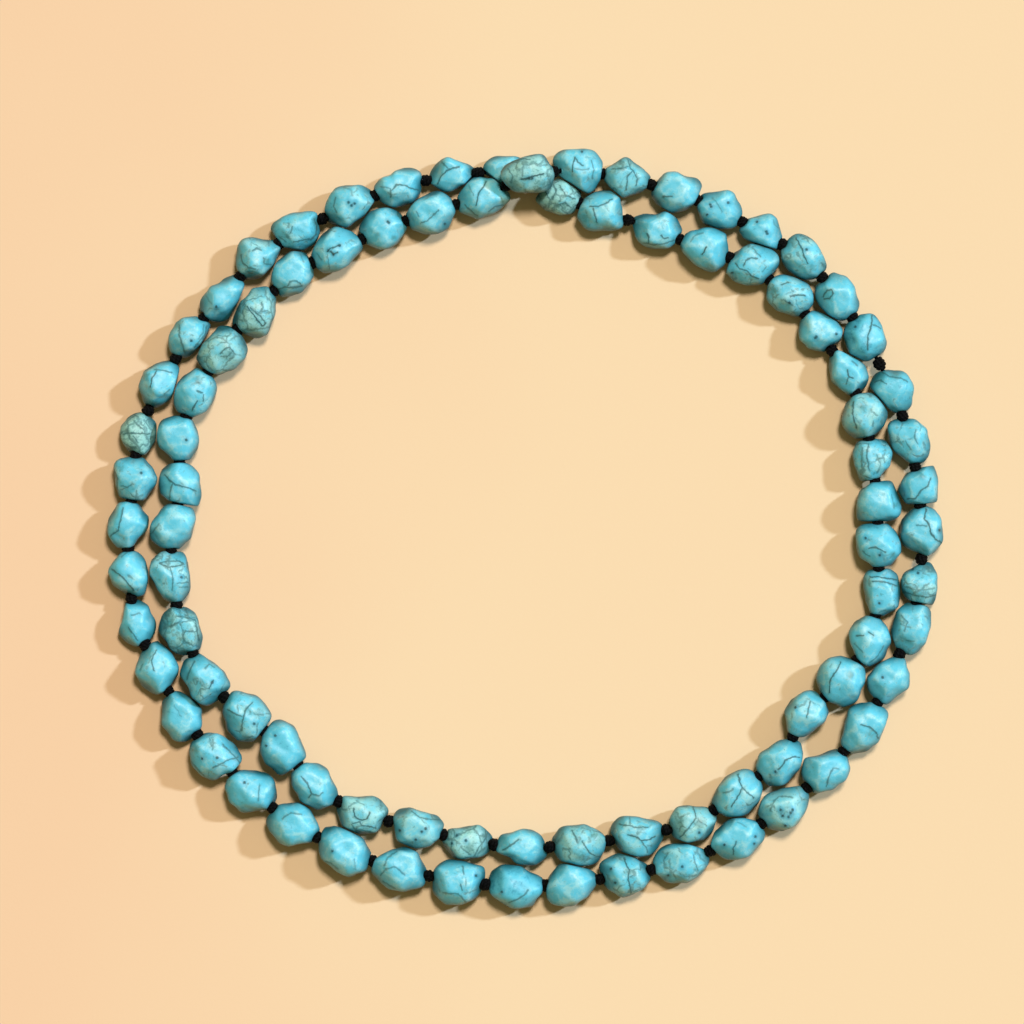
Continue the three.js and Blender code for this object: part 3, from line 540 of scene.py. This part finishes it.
def beside_vein(vein, x, y):
    """Signed distance to a vein seen from above, negative on its right, and how far past its ends, in mm."""
    corners = np.array(vein, float).reshape(-1, 2)
    best = np.full(x.shape, np.inf)
    across, past = np.zeros(x.shape), np.zeros(x.shape)
    for (x0, y0), (x1, y1) in zip(corners[:-1], corners[1:]):
        dx, dy = x1 - x0, y1 - y0
        length = np.hypot(dx, dy)
        along = ((x - x0) * dx + (y - y0) * dy) / length
        off = ((x - x0) * dy - (y - y0) * dx) / length
        over = np.maximum(np.maximum(-along, along - length), 0)
        distance = np.hypot(off, over)
        nearer = distance < best
        best = np.where(nearer, distance, best)
        across = np.where(nearer, np.sign(off) * distance, across)
    for end, inner in ((corners[0], corners[1]), (corners[-1], corners[-2])):
        out = (end - inner) / np.linalg.norm(end - inner)
        beyond = (x - end[0]) * out[0] + (y - end[1]) * out[1]
        at_end = (beyond > 0) & (np.hypot(x - end[0], y - end[1]) <= best + ROUNDING)
        across = np.where(at_end, np.sign(across) * np.sqrt(np.maximum(best ** 2 - beyond ** 2, 0)), across)
        past = np.where(at_end, beyond, past)
    return across * STEP * 1000, past * STEP * 1000


def mark_nugget(piece, number, points):
    """Writes what the finish needs into the piece: how green, mottled and pale it is, and how far each point
    is from the veins, pits and patches that show from above, from a worn ridge and from the top, the last for
    the painted shade on the lower flanks."""
    green, mottle, pale, veins, pits, patches = row_table[number][1:]
    x, y = points[:, 0] / STEP + LOOP_MIDDLE[0], LOOP_MIDDLE[1] - points[:, 1] / STEP
    nugget = nuggets[number]
    rise = (points[:, 2] - nugget["centre"][2]) / nugget["half"]
    top = np.clip(rise / VEIN_FADE + 1, 0, 1)
    dirs = points - nugget["centre"]
    past = body_reach(nugget, dirs / np.linalg.norm(dirs, axis=1, keepdims=True))[1]
    ridge = (1 + past.sum(1)) / np.maximum(past.max(1), 1) - 1
    nowhere = np.full(len(x), FAR_OFF)
    pit = np.min([np.hypot(x - px, y - py) / PIT_RADIUS for px, py in pits] + [nowhere], 0)
    patch = [1 - np.hypot(x - px, y - py) / (PATCH_REACH * radius) for px, py, radius in patches]
    patch = np.max(patch + [-nowhere], 0)
    for slot in range(VEINS_EACH):
        vein = np.full((len(x), 3), (FAR_OFF, 0, 0))
        if slot < len(veins):
            vein[:, 0], vein[:, 1] = beside_vein(veins[slot][1:], x, y)
            vein[:, 2] = veins[slot][0] * top
        mark(piece, f"vein_{slot + 1}", vein)
    mark(piece, "pit", pit + PIT_FADE * (1 - top))
    mark(piece, "patch", np.clip(patch, 0, 1) * top)
    mark(piece, "green", np.full(len(x), green))
    mark(piece, "mottle", mottle + UNDER_MOTTLE * (1 - top))
    mark(piece, "pale", np.full(len(x), pale))
    mark(piece, "ridge", np.clip((ridge - RIDGE_FROM) / (1 - RIDGE_FROM), 0, 1))
    # Painted shade: how far a point lies below the top, which darkens the lower flanks in the finish
    mark(piece, "low", np.clip(1 - rise / PAINTED_SHADE_BELOW, 0, 1))


BLUE = (0.115, 0.585, 0.715, 1)
LIGHT_BLUE = (0.30, 0.72, 0.76, 1)
DEEP_BLUE = (0.035, 0.31, 0.42, 1)
# Deep teal of the painted shade on the lower flanks
PAINTED_SHADE_TEAL = (0.0, 0.085, 0.10, 1)
PALE_GREEN = (0.33, 0.68, 0.60, 1)
MOSS = (0.045, 0.20, 0.18, 1)
MATRIX = (0.006, 0.075, 0.085, 1)
BROWN_MATRIX = (0.020, 0.070, 0.060, 1)
SHEEN_TINT = (0.75, 1.0, 1.0, 1)
BROAD, SOFT, FINE, GRAIN = 0.11, 0.33, 1.3, 6.0  # clouds in the stone, in features per millimetre
# How far each goes towards its own colour where it is strongest
STAIN_SHARE, BLOTCH_SHARE, BRUISE_SHARE, PAINTED_SHADE_SHARE = 0.6, 0.5, 0.6, 0.93
WEB_SHARE, HALO_SHARE, VEIN_SHARE, PIT_SHARE = 0.65, 0.36, 0.88, 0.9
# Webs of matrix: cells per millimetre, width of the lines, how mottled the stone is there, and strength
WEBS = ((0.17, 0.085, 0.62, 1.0), (0.42, 0.16, 0.88, 0.35))
WEB_BEND = 2.6  # how far a web is pushed aside, in millimetres as the next three
VEIN_WANDER = 0.7
VEIN_WIDTHS = (0.24, 0.44)
HALO_REACH = 0.9
VEIN_CORE = 0.15  # share of a vein's width that is quite dark


def feed(tree, node, inputs):
    """Sets inputs of a node by name or number, each to a value or to another node's output."""
    for name, value in inputs.items():
        if isinstance(value, bpy.types.NodeSocket):
            tree.links.new(value, node.inputs[name])
        else:
            node.inputs[name].default_value = value


def put(tree, kind, inputs, **settings):
    """The outputs of a new shader node with these inputs and settings."""
    added = tree.nodes.new("ShaderNode" + kind)
    for name, value in settings.items():
        setattr(added, name, value)
    feed(tree, added, inputs)
    return added.outputs


def calc(tree, operation, *values):
    """A number worked out from others."""
    return put(tree, "Math", dict(enumerate(values)), operation=operation)[0]


def swing(tree, noise, size, base):
    """Base, and to it size times what a noise is above or below its middle, a half."""
    return calc(tree, "MULTIPLY_ADD", calc(tree, "SUBTRACT", noise, 0.5), size, base)


def between(tree, value, low, high, to_low=0.0, to_high=1.0):
    """Smooth step from to_low to to_high as value goes from low to high."""
    inputs = {"Value": value, "From Min": low, "From Max": high, "To Min": to_low, "To Max": to_high}
    return put(tree, "MapRange", inputs, interpolation_type="SMOOTHSTEP")[0]


def tint(tree, share, first, second, most=1.0):
    """Colour that goes from first towards second with share, all the way if most is 1."""
    share = calc(tree, "MULTIPLY", share, most)
    return put(tree, "Mix", {0: share, 6: first, 7: second}, data_type="RGBA")[2]


def cloud(tree, place, scale, detail=3.0, distortion=0.0):
    """Soft noise, about 0.5, with features 1/scale millimetres across, as a number and as a colour."""
    inputs = {"Vector": place, "Scale": scale, "Detail": detail, "Distortion": distortion}
    return put(tree, "TexNoise", inputs)


def read_mark(tree, name):
    """What mark wrote into the piece, as a number under Fac and as a vector under Vector."""
    return put(tree, "Attribute", {}, attribute_name=name)


def bump(tree, strength, distance, height):
    """Normal of a surface with this relief."""
    return put(tree, "Bump", {"Strength": strength, "Distance": distance, "Height": height})[0]


def new_finish(name):
    """An empty node material, its tree, its shader and Object coordinates in millimetres."""
    finish = bpy.data.materials.new(name)
    finish.use_nodes = True
    tree = finish.node_tree
    place = {0: put(tree, "TexCoord", {})["Object"], "Scale": 1000.0}
    return finish, tree, tree.nodes["Principled BSDF"], put(tree, "VectorMath", place, operation="SCALE")[0]


def polished_turquoise():
    """Blue stone that shades to green, under a web of matrix where it is mottled, with the listed veins, pits
    and patches on top. Veins and pits are sunk and duller than the polished stone."""
    finish, tree, shader, place = new_finish("polished_turquoise")
    marks = ("green", "mottle", "pale", "ridge", "low", "pit", "patch")
    green, mottle, pale, ridge, low, pit, patch = (read_mark(tree, name)["Fac"] for name in marks)
    broad = cloud(tree, place, BROAD, 2.0, 0.4)[0]
    soft = cloud(tree, place, SOFT, 3.0, 0.8)[0]
    fine = cloud(tree, place, FINE, 4.0, 0.6)[0]
    grain = cloud(tree, place, GRAIN)[0]

    # Stone: deep, plain and light blue in clouds, and green where the nugget has it
    light = swing(tree, soft, 0.6, 0.5)
    light = calc(tree, "MULTIPLY_ADD", pale, 0.2, light)
    light = calc(tree, "MULTIPLY_ADD", ridge, 0.1, light)
    light = swing(tree, fine, 0.4, light)
    stone = tint(tree, between(tree, light, 0.2, 0.45), DEEP_BLUE, BLUE)
    stone = tint(tree, between(tree, light, 0.48, 0.72), stone, LIGHT_BLUE)
    stone = tint(tree, between(tree, swing(tree, soft, 0.9, green), 0.05, 0.7), stone, PALE_GREEN)
    stain = calc(tree, "MULTIPLY", patch, swing(tree, fine, 2.5, 1.0))
    stone = tint(tree, between(tree, stain, 0.0, 0.9), stone, MOSS, STAIN_SHARE)
    blotch = calc(tree, "MULTIPLY_ADD", mottle, 0.2, fine)
    stone = tint(tree, between(tree, blotch, 0.6, 0.8), stone, MOSS, BLOTCH_SHARE)
    stone = tint(tree, between(tree, pit, 0.5, 2.8, 1.0, 0.0), stone, DEEP_BLUE, BRUISE_SHARE)

    # Flanks: painted shade, the stone darkened to deep teal low down on the flanks, where shade falls
    stone = tint(tree, between(tree, low, 0.1, 1.0), stone, PAINTED_SHADE_TEAL, PAINTED_SHADE_SHARE)

    # Web of matrix: edges of bent cells, broken up, stronger where the stone is mottled
    bend = {0: cloud(tree, place, 0.5, 4.0)[1], 1: (WEB_BEND, WEB_BEND, WEB_BEND), 2: place}
    bent = put(tree, "VectorMath", bend, operation="MULTIPLY_ADD")[0]
    amount = calc(tree, "MULTIPLY_ADD", mottle, 0.55, soft)
    webs = []
    for scale, width, enough, strength in WEBS:
        edge = put(tree, "TexVoronoi", {"Vector": bent, "Scale": scale}, feature="DISTANCE_TO_EDGE")[0]
        webs.append(calc(tree, "MULTIPLY", between(tree, edge, 0.0, width, strength, 0.0),
            between(tree, amount, enough, enough + 0.2)))
    web = calc(tree, "MAXIMUM", *webs)

    # Veins listed one by one: each wanders a little and breaks up along its length
    wander = swing(tree, cloud(tree, place, 0.8, 2.0)[0], VEIN_WANDER, 0.0)
    width = between(tree, fine, 0.35, 0.65, *VEIN_WIDTHS)
    core = calc(tree, "MULTIPLY", width, VEIN_CORE)
    line, halo = 0.0, 0.0
    for slot in range(VEINS_EACH):
        vein = read_mark(tree, f"vein_{slot + 1}")["Vector"]
        across, past, strength = put(tree, "SeparateXYZ", {0: vein})
        off = calc(tree, "ADD", across, wander)
        off = calc(tree, "SQRT", calc(tree, "MULTIPLY_ADD", off, off, calc(tree, "MULTIPLY", past, past)))
        inside = calc(tree, "MULTIPLY", between(tree, off, core, width, 1.0, 0.0), strength)
        beside = calc(tree, "MULTIPLY", between(tree, off, 0.0, HALO_REACH, 1.0, 0.0), strength)
        line = calc(tree, "MAXIMUM", line, inside)
        halo = calc(tree, "MAXIMUM", halo, beside)
    dark = calc(tree, "MAXIMUM", line, calc(tree, "MULTIPLY", web, WEB_SHARE))
    hole = between(tree, swing(tree, grain, 1.0, pit), 0.35, 1.0, 1.0, 0.0)

    matrix = tint(tree, between(tree, broad, 0.4, 0.62), MATRIX, BROWN_MATRIX)
    colour = tint(tree, halo, stone, MOSS, HALO_SHARE)
    colour = tint(tree, dark, colour, matrix, VEIN_SHARE)
    colour = tint(tree, hole, colour, matrix, PIT_SHARE)
    dull = calc(tree, "MAXIMUM", dark, hole)
    rough = calc(tree, "MULTIPLY_ADD", dull, 0.35, between(tree, fine, 0.3, 0.7, 0.50, 0.40))
    height = calc(tree, "MULTIPLY_ADD", dark, -0.5, calc(tree, "MULTIPLY", fine, 0.4))
    height = calc(tree, "MULTIPLY_ADD", grain, 0.06, calc(tree, "SUBTRACT", height, hole))
    feed(tree, shader, {"Base Color": colour, "Roughness": rough, "Normal": bump(tree, 0.7, 0.00016, height),
        "IOR": 1.5, "Coat Weight": 0.1, "Coat Roughness": 0.3, "Sheen Weight": 0.04, "Sheen Roughness": 0.35,
        "Sheen Tint": SHEEN_TINT})
    return finish


turquoise = polished_turquoise()
nugget_faces = ring_faces(RINGS + 2 * len(BORE_STEPS), SPOKES, True)
for number in range(count):
    points = nugget_surface(number).reshape(-1, 3)
    outer = number < len(OUTER_NUGGETS)
    piece = make_piece(f"nugget_{number + 1:02d}", points, nugget_faces, turquoise)
    mark_nugget(piece, number, points)
    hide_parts("outer_turn" if outer else "inner_turn")
    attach(piece, "root")

# Thread: one endless length of twisted black nylon, about a millimetre thick, that runs through every
# nugget. It shows only in the spaces between them.
THREAD_RADIUS = 0.0005
THREAD_SIDES = 10
PATH_STEPS = 5  # rings from one guide point to the next
THREAD_BLACK = (0.001, 0.001, 0.001, 1)
THREAD_GREY = (0.0045, 0.0045, 0.0045, 1)
STRANDS = ((3.0, 9.0, 1.0), (14.0, 42.0, 0.3))  # ridges round the thread, their climb per mm, and height


def smooth_path(guides, steps):
    """Points along a curve through the guide points, its slope at each set by its two neighbours."""
    before, after = guides[:-3], guides[3:]
    start, stop = guides[1:-2], guides[2:-1]
    t = (np.arange(steps) / steps)[:, None, None]
    curve = 0.5 * (2 * start + (stop - before) * t + (2 * before - 5 * start + 4 * stop - after) * t ** 2
        + (3 * start - before - 3 * stop + after) * t ** 3)
    return curve.transpose(1, 0, 2).reshape(-1, 3)


def tube(path, radius, sides):
    """Rings round a path: the first spoke of each stays as level as the path allows."""
    way = np.gradient(path, axis=0)
    way /= np.linalg.norm(way, axis=1, keepdims=True)
    side = np.cross(way, [0.02, 0.03, 1.0])
    side /= np.linalg.norm(side, axis=1, keepdims=True)
    above = np.cross(side, way)
    turn = (2 * np.pi * np.arange(sides) / sides)[None, :, None]
    ring = np.cos(turn) * side[:, None] + np.sin(turn) * above[:, None]
    return path[:, None] + ring * radius


def twisted_black():
    """Black nylon, its strands twisted round each other: ridges that climb round the thread."""
    finish, tree, shader, place = new_finish("twisted_black_thread")
    along, cosine, sine = put(tree, "SeparateXYZ", {0: read_mark(tree, "wound")["Vector"]})
    turn = calc(tree, "ARCTAN2", sine, cosine)
    fuzz = cloud(tree, place, 9.0)[0]
    height = fuzz
    for ridges, climb, high in STRANDS:
        twist = calc(tree, "MULTIPLY_ADD", turn, ridges, calc(tree, "MULTIPLY", along, climb))
        height = calc(tree, "MULTIPLY_ADD", calc(tree, "SINE", twist), high, height)
    feed(tree, shader, {"Base Color": tint(tree, between(tree, height, -0.6, 2.0), THREAD_BLACK, THREAD_GREY),
        "Roughness": between(tree, fuzz, 0.3, 0.7, 0.5, 0.7), "Normal": bump(tree, 0.8, 0.00012, height),
        "Specular IOR Level": 0.08})
    return finish


black_thread = twisted_black()


def add_wound(name, node, paths, radius):
    """One piece of thread along paths of equal length, closed flat at their ends. Each point also has how far
    along its thread it is, in mm, and the cosine and sine of its turn round it."""
    rings, sides = len(paths[0]), THREAD_SIDES
    turn = 2 * np.pi * np.arange(sides) / sides
    points, faces, wound = [], [], []
    for number, path in enumerate(paths):
        first, last = number * rings * sides, (number * rings + rings - 1) * sides
        points.append(tube(path, radius, sides))
        faces += (ring_faces(rings, sides, False) + first).tolist()
        faces += [list(range(first + sides - 1, first - 1, -1)), list(range(last, last + sides))]
        steps = np.linalg.norm(np.diff(path, axis=0), axis=1)
        along = np.concatenate([[0], np.cumsum(steps)])[:, None] * 1000
        wound.append(np.stack(np.broadcast_arrays(along, np.cos(turn), np.sin(turn)), -1))
    piece = make_piece(name, points, faces, black_thread)
    mark(piece, "wound", np.reshape(wound, (-1, 3)))
    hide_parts(node)
    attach(piece, "root")


def thread_path(first, length):
    """Path from the knot before the first nugget of a turn, through its holes, to the knot after its last."""
    guides = [knots[first - 1] - (nuggets[first]["holes"][0] - knots[first - 1]), knots[first - 1]]
    for number in range(first, first + length):
        guides += [*nuggets[number]["holes"], knots[number]]
    guides.append(2 * knots[first + length - 1] - nuggets[first + length - 1]["holes"][1])
    return smooth_path(np.array(guides), PATH_STEPS)


outer_count, inner_count = len(OUTER_NUGGETS), len(INNER_NUGGETS)
add_wound("thread_outer", "outer_turn", [thread_path(0, outer_count)], THREAD_RADIUS)
add_wound("thread_inner", "inner_turn", [thread_path(outer_count, inner_count)], THREAD_RADIUS)

# Knots: the same thread tied round itself against each nugget, pulled down tight into its countersink.
# Three wraps and a bit, the middle ones the widest, each a little askew.
KNOT_CORD = 0.00062
WRAP_RADIUS = 0.00102
WRAPS = 3.3
WRAP_LENGTH = 0.0021
WRAP_TILT = 0.0001
WRAP_WOBBLE = 0.05  # share of its radius by which a wrap comes and goes
KNOT_NECK = 0.45  # radius at a knot's ends over the one at its middle
KNOT_BELLY = 0.6  # how barrel-like it is between: 1 is a sine, less is fuller
RADIUS_SPREAD, LENGTH_SPREAD = (0.92, 1.1), (0.9, 1.25)
KNOT_RINGS = 72
KNOT_SEED = 1000  # keeps the knots' chances apart from the nuggets'


def knot_path(number):
    """Thread wound about the string's axis: a helix whose ends run in to the axis, each wrap tilted."""
    chance = np.random.default_rng(KNOT_SEED + number)
    axis = unit(centres[(number + 1) % count] - centres[number])
    side = unit(np.cross(axis, [0, 0, 1]))
    above = np.cross(side, axis)
    q = np.linspace(0, 1, KNOT_RINGS)
    angle = 2 * np.pi * WRAPS * q + chance.uniform(0, 2 * np.pi)
    barrel = KNOT_NECK + (1 - KNOT_NECK) * np.sin(np.pi * q) ** KNOT_BELLY
    radius = WRAP_RADIUS * chance.uniform(*RADIUS_SPREAD) * barrel
    radius = radius * (1 + WRAP_WOBBLE * np.sin(angle * 0.5 + chance.uniform(0, 6)))
    along = (q - 0.5) * WRAP_LENGTH * chance.uniform(*LENGTH_SPREAD)
    along = along + WRAP_TILT * np.sin(angle + chance.uniform(0, 6))
    return (knots[number] + along[:, None] * axis + (radius * np.cos(angle))[:, None] * side
        + (radius * np.sin(angle))[:, None] * above)


knot_paths = [knot_path(number) for number in range(count)]
add_wound("knots_outer", "outer_turn", knot_paths[:outer_count], KNOT_CORD)
add_wound("knots_inner", "inner_turn", knot_paths[outer_count:], KNOT_CORD)

# Floor: a plain warm cream board under the necklace, matt and a little uneven in tone.
FLOOR_SIZE = 3.0
CREAM = (0.895, 0.668, 0.400, 1)
PEACH = (0.875, 0.590, 0.350, 1)
PEACH_FROM, PEACH_TO = -150.0, 10.0  # from the left edge to past the middle, in millimetres
PEACH_DRIFT = 180.0  # how far that comes and goes

floor_finish, tree, shader, place = new_finish("cream_board")
across = put(tree, "SeparateXYZ", {0: place})[0]
drift = swing(tree, cloud(tree, place, 0.006, 2.0)[0], PEACH_DRIFT, across)
tooth = cloud(tree, place, 1.5, 4.0)[0]
feed(tree, shader, {"Base Color": tint(tree, between(tree, drift, PEACH_FROM, PEACH_TO), PEACH, CREAM),
    "Normal": bump(tree, 0.15, 0.0001, tooth), "Roughness": 0.75, "Specular IOR Level": 0.25})
corner = FLOOR_SIZE / 2
floor_points = [(-corner, -corner, 0), (corner, -corner, 0), (corner, corner, 0), (-corner, corner, 0)]
floor = make_piece("floor", floor_points, [(0, 1, 2, 3)], floor_finish)

# Light: a low lamp from the right, a softer high one from the far side, and a dim warm room.
# Each lamp has its way over the floor, its rise and spread in degrees, its strength and its colour.
LAMPS = {
    "low_lamp": ((0.92, 0.39), 34, 3.5, 2.55, (0.58, 0.75, 1.0)),
    "high_lamp": ((0.35, 0.94), 63, 12, 2.274, (1.0, 0.912, 0.843)),
}
ROOM_COLOUR = (0.17, 0.15, 0.08, 1)

for name, (way, rise, spread, strength, colour) in LAMPS.items():
    lamp = bpy.data.objects.new(name, bpy.data.lights.new(name, "SUN"))
    lamp.data.energy = strength
    lamp.data.angle = np.radians(spread)
    lamp.data.color = colour
    towards = Vector((*way, np.tan(np.radians(rise)) * np.hypot(*way)))
    lamp.rotation_euler = towards.to_track_quat("Z", "Y").to_euler()
    bpy.context.scene.collection.objects.link(lamp)

room = bpy.data.worlds.new("room")
room.use_nodes = True
room.node_tree.nodes["Background"].inputs["Color"].default_value = ROOM_COLOUR
room.node_tree.nodes["Background"].inputs["Strength"].default_value = 1.0
bpy.context.scene.world = room
bpy.context.scene.view_settings.view_transform = "Standard"

# Camera: straight above the loop, on a long lens, so that every nugget is seen from the top.
VIEW_STEPS = 1024  # width of the view, in steps of the grid
VIEW_MIDDLE = (512, 512)
CAMERA_HEIGHT = 1.6
SEEN_LEVEL = 0.005  # height at which the grid fits the view, about where the nuggets are widest
SENSOR_WIDTH = 36

camera = bpy.data.objects.new("camera", bpy.data.cameras.new("camera"))
bpy.context.scene.collection.objects.link(camera)
camera.location = (*map(float, on_loop(*VIEW_MIDDLE)), CAMERA_HEIGHT)
camera.data.sensor_width = SENSOR_WIDTH
camera.data.lens = SENSOR_WIDTH * (CAMERA_HEIGHT - SEEN_LEVEL) / (VIEW_STEPS * STEP)
camera.data.clip_end = 20
bpy.context.scene.camera = camera
